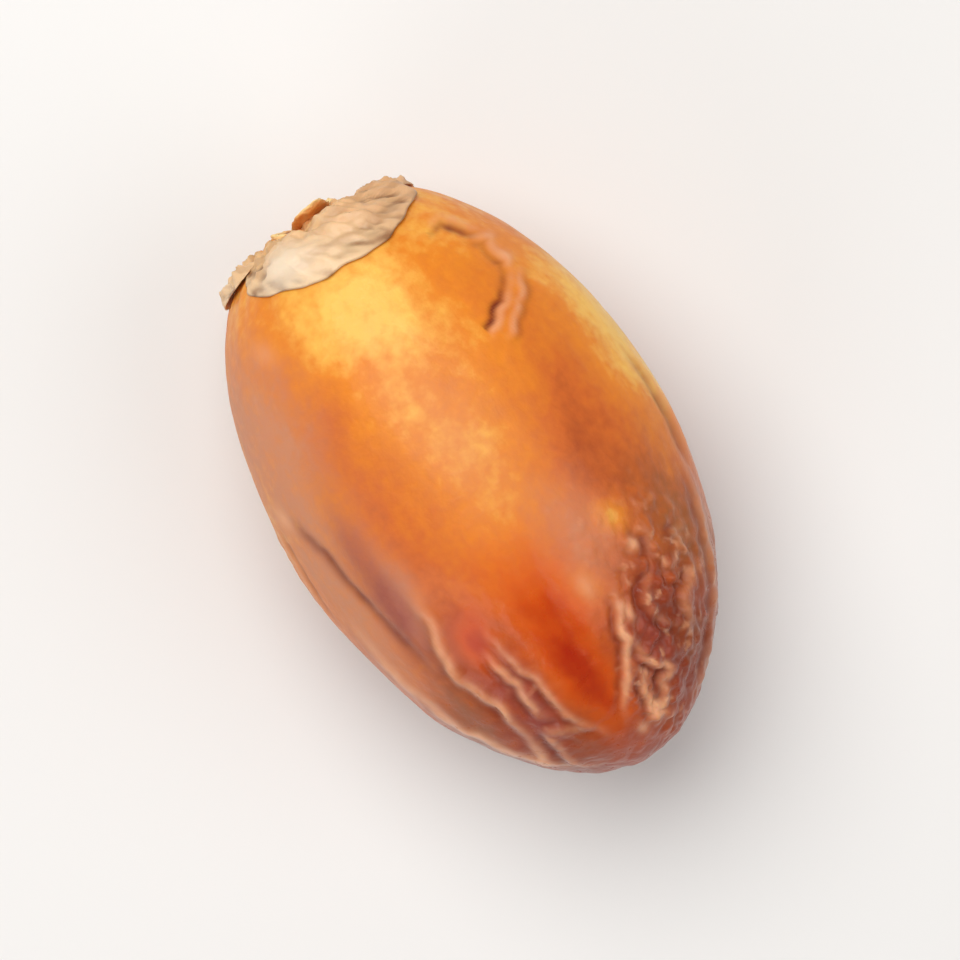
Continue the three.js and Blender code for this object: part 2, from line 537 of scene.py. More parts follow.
@dataclass(frozen=True)
class FloorFinish:
    """Plain pale floor.

    Attributes:
        colour: Its one colour.
    """

    colour: Colour = (0.8, 0.79, 0.78)

    def material(self) -> bpy.types.Material:
        """Builds the floor's material."""
        return MaterialSheet("pale_floor").finish(Base_Color=self.colour, Roughness=0.7)


# --- The fruit ------------------------------------------------------------------------------------


@dataclass
class FruitForm:
    """The fruit's plain outline, before its wrinkles: the same form as the frame's fruit.

    Attributes:
        length: From pole to pole, before the calyx has pressed in its seat.
        width: Across, at the widest.
        height: Up and down, before it is flattened underneath.
        bow: How far the middle stands to the +Y side of the ends.
        calyx_power: Under 1, the calyx end is fuller than an ellipse.
        tip_power: Over 1, the tip is finer than one.
        seat_depth: How deep the calyx's seat is.
        seat_radius: How wide it is.
        folds: For each lengthwise fold, its turn, depth, spread and reach.
    """

    length: float = 42.3
    width: float = 26.1
    height: float = 24.6
    bow: float = 0.5
    calyx_power: float = 0.86
    tip_power: float = 1.1
    seat_depth: float = 3.3
    seat_radius: float = 4.5
    folds: tuple[tuple[float, float, float, float], ...] = (
        (104, 0.6, 10, 0.6),
        (148, 0.5, 9, 0.8),
        (-140, 0.55, 9, 0.7),
        (-96, 0.6, 10, 0.55),
    )
    shift: np.ndarray = field(default_factory=lambda: np.zeros(3))

    def girth(self, forward: np.ndarray) -> np.ndarray:
        """Gives the thickness as a share of the greatest, from -1 at the calyx pole to 1 at the tip's."""
        power = self.calyx_power + (self.tip_power - self.calyx_power) * (1 + forward) / 2
        return np.sqrt(np.clip(1 - forward**2, 0, 1)) ** power

    def sunk(self, along: np.ndarray, turn: np.ndarray) -> np.ndarray:
        """Gives how deep the broad lengthwise folds are, in millimetres."""
        total = np.zeros_like(turn)
        for middle, depth, spread, reach in self.folds:
            across = (turn - middle + 180) % 360 - 180
            run = ease(1 - reach, 1.3 - reach, along) * ease(1, 0.8, along)
            total += depth * run * bell(across, spread)
        return total

    def skin(self, polar: np.ndarray, turn: np.ndarray) -> np.ndarray:
        """Gives points on the plain skin.

        Args:
            polar: Degrees from the calyx pole to the tip's.
            turn: Degrees round the fruit from its top towards +Y.

        Returns:
            One row of x, y, z for each place.
        """
        forward = -np.cos(np.radians(polar))
        along = (1 + forward) / 2
        girth = self.girth(forward)
        sunk = self.sunk(along, turn)
        seat = np.where(along < 0.5, self.seat_depth * bell(girth * self.width / 2, self.seat_radius), 0)
        across = np.sin(np.radians(turn)) * (girth * self.width / 2 - sunk) + self.bow * girth**2
        up = np.cos(np.radians(turn)) * (girth * self.height / 2 - sunk)
        return np.stack([forward * self.length / 2 + seat, across, up], axis=1) + self.shift

    def normals(self, polar: np.ndarray, turn: np.ndarray) -> np.ndarray:
        """Gives the plain skin's outward directions, away from the poles.

        Args:
            polar: Degrees from the calyx pole to the tip's.
            turn: Degrees round the fruit from its top towards +Y.

        Returns:
            One unit row of x, y, z for each place.
        """
        step = 0.4
        inner = np.clip(polar, 1, 179)
        forwards = self.skin(inner + step, turn) - self.skin(inner - step, turn)
        round_it = self.skin(inner, turn + step) - self.skin(inner, turn - step)
        out = np.cross(forwards, round_it)
        return out / np.linalg.norm(out, axis=1)[:, None]

    def polar_at(self, radius: np.ndarray) -> np.ndarray:
        """Gives the polar angle, in degrees, where the calyx end is this far from the axis."""
        girth = np.clip(radius / (self.width / 2), 0, 0.98)
        return np.degrees(np.arcsin(girth ** (1 / self.calyx_power)))

    def settle(self, low: Vector, high: Vector) -> None:
        """Moves the form to the frame's fruit, by the middle of its box and its top.

        Args:
            low: The lowest corner of the frame's fruit, in metres.
            high: Its highest corner.
        """
        polar, turn = np.meshgrid(np.linspace(0, 180, 181), np.linspace(0, 360, 361))
        points = self.skin(polar.ravel(), turn.ravel())
        mine_low, mine_high = points.min(0), points.max(0)
        low_mm, high_mm = np.array(low) / METRES, np.array(high) / METRES
        self.shift = self.shift + (low_mm + high_mm - mine_low - mine_high) / 2
        self.shift[2] += (high_mm[2] - low_mm[2] - mine_high[2] + mine_low[2]) / 2


@dataclass(frozen=True)
class Crease:
    """A narrow fold that follows a path on the skin: a crest that drops sharply into a hollow on one side.

    Attributes:
        path: A few places on it: along the fruit from its middle, and across it, as seen from facing.
        ridge: How high its crest stands.
        groove: How deep the hollow is.
        width: The half width of the hollow, and of the crest's sharp side.
        beside: How far the hollow is to the left of the crest, looking along the path; minus is to the right.
        lean: How many times wider the crest's other side is.
        wander: How far it strays from its path.
        rough: How much its strength comes and goes along the path.
        pale: How strongly its crest is made pale: partly the skin's own paler crest, partly a painted
            highlight.
        dark: How strongly its hollow is darkened, as painted shade.
        facing: The turn from which it is seen square on.
        taper: The share of the path over which each end fades in.
        spacing: Millimetres between the points that follow the path.
        rounding: How many points to each side a corner is rounded over.
    """

    path: tuple[tuple[float, float], ...]
    ridge: float = 0.18
    groove: float = 0.18
    width: float = 0.28
    beside: float = -0.5
    lean: float = 2.0
    wander: float = 0.1
    rough: float = 0.5
    pale: float = 0.4
    dark: float = 0.5
    facing: float = 0.0
    taper: float = 0.35
    spacing: float = 0.12
    rounding: int = 5

    def shape(self, along: np.ndarray, across: np.ndarray) -> tuple[np.ndarray, np.ndarray, np.ndarray]:
        """Shapes the crease over the skin.

        Args:
            along: Millimetres along the fruit from its middle.
            across: Millimetres across it, seen from the crease's own side.

        Returns:
            How far the skin rises, and how pale and how dark it becomes, from 0 to 1.
        """
        offset, strength = self._offset(along, across)
        sharp = offset * math.copysign(1, self.beside) > 0
        crest = np.where(sharp, bell(offset, self.width), bell(offset, self.width * self.lean))
        hollow = bell(offset - self.beside, self.width)
        rise = (self.ridge * crest - self.groove * hollow) * strength
        return rise, self.pale * bell(offset, self.width) * strength, self.dark * hollow * strength

    def _offset(self, along: np.ndarray, across: np.ndarray) -> tuple[np.ndarray, np.ndarray]:
        """Gives how far each place is to the left of the crest, and how strong the crease is there."""
        line = self._line()
        ahead = np.gradient(line, axis=0)
        ahead /= np.linalg.norm(ahead, axis=1)[:, None]
        places = np.stack([along, across], axis=1)
        reach = 2 * self.width * self.lean + abs(self.beside)
        near = np.all((places > line.min(0) - reach) & (places < line.max(0) + reach), axis=1)
        away = places[near, None, :] - line[None, :, :]
        closest = np.argmin((away**2).sum(2), axis=1)
        out = away[np.arange(len(closest)), closest]
        side = ahead[closest, 0] * out[:, 1] - ahead[closest, 1] * out[:, 0]
        share = closest / (len(line) - 1)
        offset, strength = np.full(len(along), reach), np.zeros(len(along))
        offset[near] = np.copysign(np.hypot(out[:, 0], out[:, 1]), side)
        uneven = 1 + self.rough * Waves(19).at(line[closest][:, (0, 1, 1)] * 0.7)
        strength[near] = ease(0, self.taper, share) * ease(1, 1 - self.taper, share) * uneven
        return offset, strength

    def _line(self) -> np.ndarray:
        """Gives close points along the rounded, wandering path: one row of along and across for each."""
        given = np.array(self.path, float)
        arc = np.concatenate([[0], np.cumsum(np.hypot(*np.diff(given, axis=0).T))])
        steps = np.linspace(0, arc[-1], int(arc[-1] / self.spacing) + 9)
        pad = self.rounding
        kernel = np.ones(2 * pad + 1) / (2 * pad + 1)
        straight = [np.pad(np.interp(steps, arc, given[:, axis]), pad, mode="edge") for axis in (0, 1)]
        rounded = np.stack([np.convolve(values, kernel, "valid") for values in straight], axis=1)
        start = [np.full_like(steps, place) for place in given[0]]
        place = np.stack([steps, *start], axis=1)
        stray = [Waves(17 + axis).at(place * (0.5, 1, 1)) for axis in (0, 1)]
        return rounded + self.wander * np.stack(stray, axis=1)


class Zone(Enum):
    """What a patch of skin is like; the value is the name of its mask."""

    RIPE = "ripeness"
    # Loose skin's own milky colour, which in places is a painted sheen.
    LOOSE = "loose"
    DRY = "dry"
    # A dull purple skin tone, and along the long fold a painted sheen.
    MAUVE_AND_SHEEN = "bruised"
    JELLY = "jelly"
    CRINKLED = "crinkled"
    SWOLLEN = "swollen"
    # Pale specks of dry skin, with painted glints.
    GLINTS_AND_FLECKS = "flecked"


@dataclass(frozen=True)
class Patch:
    """A soft-edged oval of skin on the upper side.

    Attributes:
        middle: Its middle: along the fruit from its middle, and across it.
        radii: How far it reaches along and across.
        strength: How much is added to the zone's mask; minus takes away.
    """

    middle: tuple[float, float]
    radii: tuple[float, float]
    strength: float


# The curled crack on the shoulder, in four strands.
SHOULDER_CRACK = (
    Crease(
        ((-15.6, 5.6), (-15.2, 6.8), (-14.4, 7.9), (-13.0, 8.6)),
        ridge=0.1, groove=0.1, width=0.26, beside=-0.45, lean=1.4, wander=0.6, rough=0.7, dark=0.7,
    ),
    Crease(
        ((-14.2, 8.3), (-12.4, 8.6), (-10.8, 9.1), (-9.2, 9.1)),
        ridge=0.14, groove=0.06, width=0.26, lean=1.5, wander=0.6, rough=0.6, pale=0.7, dark=0.4,
    ),
    Crease(
        ((-10.6, 9.0), (-9.2, 8.3), (-8.0, 7.0), (-7.3, 6.0), (-7.0, 4.6)),
        ridge=0.1, groove=0.12, width=0.26, beside=-0.45, lean=1.4, wander=0.6, rough=0.6, pale=0.5, dark=0.8,
    ),
    Crease(
        ((-10.2, 9.4), (-8.8, 9.0), (-7.6, 8.0), (-6.7, 6.8), (-6.5, 5.2)),
        ridge=0.14, groove=0.06, width=0.24, beside=0.45, lean=1.4, wander=0.6, rough=0.6, pale=0.7, dark=0.4,
    ),
)

# The long fold of the -Y side: its dark line of painted shade, and the crest that comes down to it, pale
# partly by a painted highlight.
LONG_FOLD = (
    Crease(
        ((-6.6, -12.1), (-0.2, -10.6), (5.0, -9.6), (10.4, -8.4)),
        ridge=0.1, groove=0.2, width=0.36, beside=-0.1, wander=0.2, rough=0.3, pale=0.0, dark=0.7,
    ),
    Crease(
        ((2.4, -7.2), (6.4, -7.4), (9.4, -8.1), (11.4, -7.2), (13.6, -6.5), (16.4, -6.3), (18.8, -5.6)),
        ridge=0.2, groove=0.12, width=0.3, wander=0.25, pale=0.7, dark=0.4,
    ),
)

# The ridges between the long fold and the clear patch.
TIP_RIDGES = (
    Crease(
        ((7.0, -4.4), (9.6, -4.7), (11.6, -4.1), (14.0, -3.6), (16.2, -2.8), (18.8, -1.6)),
        ridge=0.14, groove=0.1, lean=2.4, wander=0.3, pale=0.5,
    ),
    Crease(
        ((8.6, -5.4), (10.6, -5.5), (12.4, -4.9), (13.8, -5.1), (15.6, -4.2)),
        ridge=0.12, groove=0.14, lean=2.4, wander=0.4, pale=0.6,
    ),
    Crease(
        ((17.0, -2.2), (16.2, -3.8), (15.5, -5.8)),
        ridge=0.06, groove=0.08, lean=3, wander=0.4, pale=0.3, dark=0.3,
    ),
    Crease(
        ((14.8, -5.3), (16.6, -5.1), (18.6, -4.6), (19.8, -3.4)),
        ridge=0.1, groove=0.16, wander=0.3, dark=0.7,
    ),
)

# The crumpled band above the clear patch.
CRUMPLED_BAND = (
    Crease(
        ((9.8, 3.8), (12.0, 3.0), (13.4, 2.2), (15.2, 1.2), (16.6, 0.5), (18.4, -0.8)),
        ridge=0.16, groove=0.08, width=0.26, lean=2.4, wander=0.5, rough=0.6, pale=0.8,
    ),
    Crease(
        ((12.6, 2.6), (15.2, 2.6), (16.2, 3.6), (17.2, 2.9), (18.4, 2.0), (19.8, 0.6)),
        ridge=0.12, groove=0.16, width=0.26, wander=0.6, rough=0.6, pale=0.6, dark=0.8,
    ),
    Crease(
        ((14.8, 2.4), (16.8, 1.6), (18.0, 1.4), (19.2, 0.2)),
        ridge=0.14, groove=0.12, width=0.26, wander=0.6, rough=0.6, pale=0.7, dark=0.7,
    ),
)

# Short folds in the dry skin beside the band.
SHORT_FOLDS = (
    Crease(((7.4, 7.2), (8.8, 6.7), (10.4, 6.8)), ridge=0.08, groove=0.14, wander=0.5, pale=0.2, dark=0.9),
    Crease(((8.8, 9.8), (10.4, 8.4), (11.2, 6.6)), ridge=0.08, groove=0.1, wander=0.7, pale=0.3),
    Crease(((11.4, 8.6), (13.4, 7.2), (15.0, 5.2)), ridge=0.1, groove=0.12, wander=0.7, pale=0.3),
    Crease(((9.8, 5.8), (12.2, 5.0), (14.8, 5.0)), ridge=0.08, groove=0.14, wander=0.7, pale=0.2, dark=0.8),
)

# The rims inside the two edges of the tip, made pale by a painted rim reflection.
TIP_RIMS = (
    Crease(((12.0, 10.0), (15.4, 8.1), (17.8, 5.9), (20.0, 2.6)), ridge=0.08, groove=0.08, pale=0.3),
    Crease(
        ((1.0, -12.3), (8.0, -11.2), (12.2, -9.8), (15.2, -8.2), (17.4, -6.6), (19.0, -4.4), (20.0, -1.4)),
        ridge=0.14, groove=0.04, width=0.3, lean=1.6, wander=0.15, rough=0.3, pale=0.85, dark=0.2,
    ),
)


def upper_patches() -> dict[Zone, tuple[Patch, ...]]:
    """Lists the patches of the upper side.

    Returns:
        The patches of each zone.
    """
    return {
        Zone.RIPE: (
            Patch((-14.5, 0.0), (5.0, 4.6), -0.2),
            Patch((-2.0, 12.8), (12.0, 1.9), -0.26),
            Patch((-1.0, 7.6), (8.0, 3.2), 0.24),
            Patch((-5.5, -7.0), (7.5, 3.2), 0.3),
            Patch((0.0, 0.5), (7.0, 3.6), -0.1),
            Patch((6.4, 5.8), (1.4, 1.1), -0.4),
            Patch((8.6, -6.2), (2.8, 1.4), 0.4),
            Patch((9.2, 2.0), (1.6, 1.1), -0.3),
            Patch((14.0, 5.0), (3.6, 1.8), 0.16),
        ),
        Zone.LOOSE: (
            # Painted highlight: a soft milky sheen over the middle of the body.
            Patch((-2.0, 0.4), (9.0, 4.0), 0.3),
            Patch((-10.0, -10.0), (8.0, 3.4), 1.0),
            # Painted sheen on the swelling of the long fold.
            Patch((3.4, -8.2), (5.0, 1.2), 1.0),
            Patch((2.0, -11.2), (9.0, 1.9), 0.8),
            Patch((6.4, 3.4), (3.6, 2.0), 0.6),
            Patch((16.8, 1.8), (3.0, 1.2), 0.4),
        ),
        Zone.DRY: (
            Patch((9.6, 9.4), (5.0, 2.6), 0.9),
            Patch((17.0, -4.0), (2.6, 2.0), 0.5),
            Patch((12.6, -8.8), (4.4, 1.4), 0.8),
            Patch((16.0, 6.0), (2.6, 1.6), 0.4),
        ),
        Zone.MAUVE_AND_SHEEN: (
            # Painted sheen: the mauve of the swelling on the long fold.
            Patch((3.0, -8.7), (6.4, 1.1), 0.8),
            Patch((13.2, -4.9), (4.6, 1.5), 1.0),
            Patch((14.2, 3.8), (2.4, 1.0), 0.4),
        ),
        Zone.JELLY: (
            Patch((8.6, -1.4), (5.2, 3.2), 0.6),
            Patch((14.2, -0.9), (4.4, 1.9), 0.95),
            Patch((8.4, -5.8), (2.2, 1.3), 0.8),
        ),
        Zone.CRINKLED: (
            Patch((10.4, 7.4), (4.4, 3.0), 0.7),
            Patch((14.0, 4.4), (4.2, 2.4), 0.7),
            Patch((15.0, -4.6), (4.4, 1.6), 0.3),
            Patch((5.6, 3.0), (3.4, 2.4), 0.2),
            Patch((-11.0, -8.6), (5.0, 2.4), 0.16),
            Patch((17.2, 1.8), (3.0, 1.6), 1.0),
        ),
        Zone.SWOLLEN: (
            Patch((2.6, -8.8), (6.0, 1.6), 0.5),
            Patch((10.6, -1.2), (7.0, 2.8), 0.3),
        ),
        Zone.GLINTS_AND_FLECKS: (
            # Painted glints where the skin catches the light, on pale specks of dry skin.
            Patch((8.6, 5.9), (0.5, 0.45), 1.0),
            Patch((11.9, 3.3), (0.9, 0.4), 0.8),
            Patch((18.3, 1.5), (0.6, 0.5), 0.8),
            Patch((18.8, 0.1), (0.5, 0.4), 0.7),
            Patch((16.9, -6.3), (1.0, 0.4), 0.7),
            Patch((9.2, 1.9), (0.9, 0.5), 0.4),
            Patch((-4.8, -11.9), (1.2, 0.4), 0.8),
            Patch((-14.0, -7.0), (0.9, 0.7), 0.4),
        ),
    }


@dataclass
class SkinZones:
    """Where the skin is ripe, loose, dry, mauve, clear, crinkled or swollen, where it has pale specks, and
    where sheen and glints are painted on it.

    Attributes:
        patches: The patches of the upper side.
        edge: How soft each patch's edge is, as a share of its radii.
        ragged: How uneven the edges are.
        upper: The heights between which the patches fade in.
        ripeness: At the calyx, how much more the tip has, and how uneven it is.
        ripening: The shares of the length between which the fruit ripens.
        ragged_waves: The waves of the patches' edges.
        ripe_waves: Those of the ripeness.
        loose_waves: Those of the loose skin underneath.
        dry_waves: Those of the dry skin underneath.
        jelly_waves: Those of the clear skin underneath.
        crinkled_waves: Those of the crinkled skin underneath.
    """

    patches: dict[Zone, tuple[Patch, ...]] = field(default_factory=upper_patches)
    edge: float = 0.9
    ragged: float = 0.2
    upper: tuple[float, float] = (9, 13)
    ripeness: tuple[float, float, float] = (0.18, 0.54, 0.08)
    ripening: tuple[float, float] = (0.35, 0.95)
    ragged_waves: Waves = Waves(61, (3.5, 2.2, 2.2), 3)
    ripe_waves: Waves = Waves(31, (7, 7, 7), 3)
    loose_waves: Waves = Waves(47, (8, 5, 5), 3)
    dry_waves: Waves = Waves(53, (6, 4, 4), 3)
    jelly_waves: Waves = Waves(59, (9, 4, 4))
    crinkled_waves: Waves = Waves(89, (8, 5, 5))

    def masks(self, plain: np.ndarray, share: np.ndarray) -> Masks:
        """Lays out the zones: a general change from calyx to tip, and then the patches of the upper side.

        Args:
            plain: The vertices on the plain form.
            share: How far along the fruit each is, from 0 to 1.

        Returns:
            A mask for each zone, from 0 to 1.
        """
        upper = ease(*self.upper, plain[:, 2])
        masks = self._underneath(plain, share, 1 - upper)
        ragged = self.ragged * self.ragged_waves.at(plain)
        for zone, patches in self.patches.items():
            for patch in patches:
                out = (plain[:, :2] - patch.middle) / patch.radii
                away = np.maximum(np.hypot(out[:, 0], out[:, 1]) + ragged, 0)
                masks[zone.value] = masks[zone.value] + patch.strength * (bell(away, self.edge) * upper)
        return {name: np.clip(values, 0, 1) for name, values in masks.items()}

    def _underneath(self, plain: np.ndarray, share: np.ndarray, lower: np.ndarray) -> Masks:
        """Lays out the general ripening, and the random zones where lower, from 0 to 1, is over 0."""
        least, more, uneven = self.ripeness
        loose = ease(0.05, 0.5, self.loose_waves.at(plain))
        dry = ease(0.2, 0.6, self.dry_waves.at(plain))
        jelly = ease(0.15, 0.5, self.jelly_waves.at(plain))
        crinkled = ease(0.1, 0.6, self.crinkled_waves.at(plain) + share - 0.6)
        none = np.zeros(len(plain))
        return {
            Zone.RIPE.value: least + more * ease(*self.ripening, share) + uneven * self.ripe_waves.at(plain),
            Zone.LOOSE.value: lower * 0.7 * loose,
            Zone.DRY.value: lower * dry,
            Zone.MAUVE_AND_SHEEN.value: lower * 0.5 * dry * loose,
            Zone.JELLY.value: lower * 0.7 * jelly * share,
            Zone.CRINKLED.value: lower * crinkled,
            Zone.SWOLLEN.value: none,
            Zone.GLINTS_AND_FLECKS.value: none,
        }


@dataclass(frozen=True)
class Flutes:
    """Rounded lengthwise flutes, which deepen towards the tip, most of all underneath.

    Attributes:
        broad: The waves of the large flutes.
        fine: Those of the small ones.
        warp: What bends both.
        bend: How far, in waves along X, Y and Z.
        heights: For the large ones, the height all over, how much more at the tip, and underneath it.
        fine_heights: The same for the small ones.
        level: The waves' own middle value, which leaves the skin where it is.
        sides: The heights between which the underside begins.
        valley: How wide the valleys darkened with painted shade are, in waves.
    """

    broad: Waves = Waves(73, (17, 3.6, 3.6), 2, 0.45)
    fine: Waves = Waves(79, (7, 1.5, 1.5))
    warp: Waves = Waves(71, (7, 7, 7))
    bend: tuple[float, float, float] = (0, 0.36, 0.36)
    heights: tuple[float, float, float] = (0.06, 0.12, 0.38)
    fine_heights: tuple[float, float, float] = (0.02, 0.07, 0.12)
    level: float = 0.3
    sides: tuple[float, float] = (11, 5)
    valley: float = 0.06

    def shape(self, plain: np.ndarray, share: np.ndarray) -> tuple[np.ndarray, np.ndarray]:
        """Shapes the flutes.

        Args:
            plain: The vertices on the plain form.
            share: How far along the fruit each is, from 0 to 1.

        Returns:
            How far the skin rises, and how deep in a valley it is, from 0 to 1.
        """
        bend = self.warp.at(plain)[:, None] * self.bend
        broad = np.abs(self.broad.at(plain, bend))
        fine = np.abs(self.fine.at(plain, bend))
        to_tip = ease(0.45, 0.9, share)
        below = ease(*self.sides, plain[:, 2])
        height = np.zeros(len(plain))
        for waves, (least, more, under) in ((broad, self.heights), (fine, self.fine_heights)):
            height += (least + (more + under * below) * to_tip) * (waves - self.level)
        return height, bell(broad, self.valley) * ease(0.45, 0.8, share) * below


@dataclass(frozen=True)
class Crinkles:
    """The small puffs and crinkles of loose skin, with the places where it glints.

    Attributes:
        puffs: The waves of the puffs.
        fine: Those of the crinkles between them.
        glints: Those of the pale glints.
        warp: What bends them.
        bend: How far, in waves along X, Y and Z.
        puff_height: How high the puffs are.
        fine_height: How high the crinkles are.
        level: The waves' own middle value, which leaves the skin where it is.
    """

    puffs: Waves = Waves(83, (2.8, 1.7, 1.7))
    fine: Waves = Waves(101, (1.3, 0.9, 0.9))
    glints: Waves = Waves(107, (0.9, 0.7, 0.7))
    warp: Waves = Waves(97, (2.4, 2.4, 2.4))
    bend: tuple[float, float, float] = (0.24, 0.4, 0.4)
    puff_height: float = 0.6
    fine_height: float = 0.34
    level: float = 0.3

    def shape(self, plain: np.ndarray) -> tuple[np.ndarray, np.ndarray]:
        """Gives how far the skin rises at each vertex of the plain form, and where it glints, from 0 to 1."""
        bend = self.warp.at(plain)[:, None] * self.bend
        puffs = np.abs(self.puffs.at(plain, bend))
        fine = np.abs(self.fine.at(plain, bend))
        height = self.puff_height * (puffs - self.level) + self.fine_height * (fine - self.level)
        return height, ease(0.2, 0.7, self.glints.at(plain)) * ease(0.1, 0.4, puffs)


@dataclass
class Fruit:
    """The date's fruit: one closed skin with all its wrinkles, flattened where it rests.

    Attributes:
        form: Its plain outline.
        rings: Rings of vertices from end to end.
        sectors: Vertices round each ring.
        crowding: How much closer together they are on the upper side, as a share.
        creases: The creases of the upper side.
        hidden_creases: How many more creases there are on the other sides.
        zones: Where the skin is of each kind.
        flutes: Its lengthwise flutes.
        crinkles: Its small crinkles.
        lumps: The waves of its broad lumps.
        lump_height: How high those are.
        pleat_height: How high the pleats beside the calyx are.
        pleats: How many there are, in two sets.
    """

    form: FruitForm
    rings: int = 380
    sectors: int = 260
    crowding: float = 0.5
    creases: tuple[Crease, ...] = (
        SHOULDER_CRACK + LONG_FOLD + TIP_RIDGES + CRUMPLED_BAND + SHORT_FOLDS + TIP_RIMS
    )
    hidden_creases: int = 26
    zones: SkinZones = field(default_factory=SkinZones)
    flutes: Flutes = Flutes()
    crinkles: Crinkles = Crinkles()
    lumps: Waves = Waves(11, (11, 11, 11))
    lump_height: float = 0.22
    pleat_height: float = 0.05
    pleats: tuple[int, int] = (23, 37)

    def build(self) -> bpy.types.Object:
        """Builds the fruit's mesh and dresses it."""
        polar_steps = np.linspace(0, 180, self.rings + 2)[1:-1]
        even = np.arange(self.sectors) * 2 * np.pi / self.sectors
        turn_steps = np.degrees(even - self.crowding * np.sin(even))
        polar = np.concatenate([[0], np.repeat(polar_steps, self.sectors), [180]])
        turn = np.concatenate([[0], np.tile(turn_steps, self.rings), [0]])
        plain = self.form.skin(polar, turn)
        normals = self.form.normals(polar, turn)
        normals[0], normals[-1] = (-1, 0, 0), (1, 0, 0)
        rise, masks = self.relief(plain, polar, turn)
        points = plain + normals * rise[:, None]
        points[:, 2] = np.maximum(points[:, 2], 0)
        piece = mesh_piece("date_fruit", points, ring_faces(self.rings, self.sectors), masks)
        piece.data.materials.append(SkinFinish().material())
        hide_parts("fruit")
        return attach(piece, "root")

    def relief(self, plain: np.ndarray, polar: np.ndarray, turn: np.ndarray) -> tuple[np.ndarray, Masks]:
        """Works out the wrinkles and the masks.

        Args:
            plain: The vertices on the plain form.
            polar: Their polar angles.
            turn: Their turns.

        Returns:
            How far each vertex rises, and the masks that the finish reads.
        """
        share = (1 - np.cos(np.radians(polar))) / 2
        half = np.hypot(plain[:, 1] - self.form.shift[1], plain[:, 2] - self.form.shift[2])
        masks = self.zones.masks(plain, share)
        swelling, crumpled, glint_and_fleck_mask = (
            masks.pop(zone.value) for zone in (Zone.SWOLLEN, Zone.CRINKLED, Zone.GLINTS_AND_FLECKS)
        )
        lines, crest, groove = self._creases(plain, half, turn)
        flutes, valley = self.flutes.shape(plain, share)
        lumps = self.lump_height * self.lumps.at(plain)
        crinkles, glints = self.crinkles.shape(plain)
        jelly = masks[Zone.JELLY.value]
        smooth = 1 - 0.8 * jelly
        poles = ease(0, 2.5, polar) * ease(180, 176, polar)
        pleats = self._pleats(turn, half, share)
        rise = (lumps + flutes * smooth + crumpled * crinkles + lines + swelling + pleats) * poles
        # Pale crests, partly a painted highlight; painted glints on crinkled skin; pale specks with their
        # painted glints.
        masks["crest"] = np.clip(crest + 0.8 * crumpled * glints + glint_and_fleck_mask, 0, 1)
        # Painted shade in the crease hollows and the flute valleys.
        masks["groove"] = np.clip(groove + 0.4 * valley * smooth, 0, 1)
        masks["glossy"] = np.clip(ease(0.45, 0.8, share) + jelly, 0, 1)
        return rise, masks

    def _creases(self, plain: np.ndarray, half: np.ndarray, turn: np.ndarray) -> tuple[np.ndarray, ...]:
        """Adds up every crease's height, and the colour of all crests and hollows."""
        rise, pale, dark = (np.zeros(len(plain)) for _ in range(3))
        for crease in (*self.creases, *self._more_creases()):
            seen = np.radians(turn - crease.facing)
            front = ease(0.05, 0.3, np.cos(seen))
            across = plain[:, 1] if crease.facing == 0 else half * np.sin(seen)
            risen, paler, darker = (value * front for value in crease.shape(plain[:, 0], across))
            rise += risen
            pale = np.maximum(pale, paler)
            dark = np.maximum(dark, darker)
        return rise, pale, dark

    def _more_creases(self) -> list[Crease]:
        """Draws the creases of the sides and the underside, which all run towards the tip."""
        rng = np.random.default_rng(7)
        found = []
        for _ in range(self.hidden_creases):
            facing = rng.uniform(85, 275)
            start, length, aside = rng.uniform(-9, 9), rng.uniform(8, 16), rng.uniform(-6, 6)
            end = min(start + length, 20)
            narrowing = math.sqrt(max(1 - (end / 21) ** 2, 0.02))
            middle = ((start + end) / 2, aside * (1 + narrowing) / 2 + rng.uniform(-1, 1))
            found.append(
                Crease(
                    ((start, aside), middle, (end, aside * narrowing)),
                    ridge=rng.uniform(0.06, 0.24),
                    groove=rng.uniform(0.08, 0.3),
                    width=rng.uniform(0.36, 0.6),
                    beside=rng.choice((-0.8, 0.8)),
                    wander=rng.uniform(0.1, 0.4),
                    facing=facing,
                )
            )
        return found

    def _pleats(self, turn: np.ndarray, half: np.ndarray, share: np.ndarray) -> np.ndarray:
        """Shapes the fine pleats that run out from under the calyx over the shoulder."""
        near = ease(11.0, 5.5, half) * ease(0.3, 0.1, share)
        angle = np.radians(turn)
        many, more = self.pleats
        return self.pleat_height * near * (np.sin(angle * many) + 0.6 * np.sin(angle * more + 1.3))


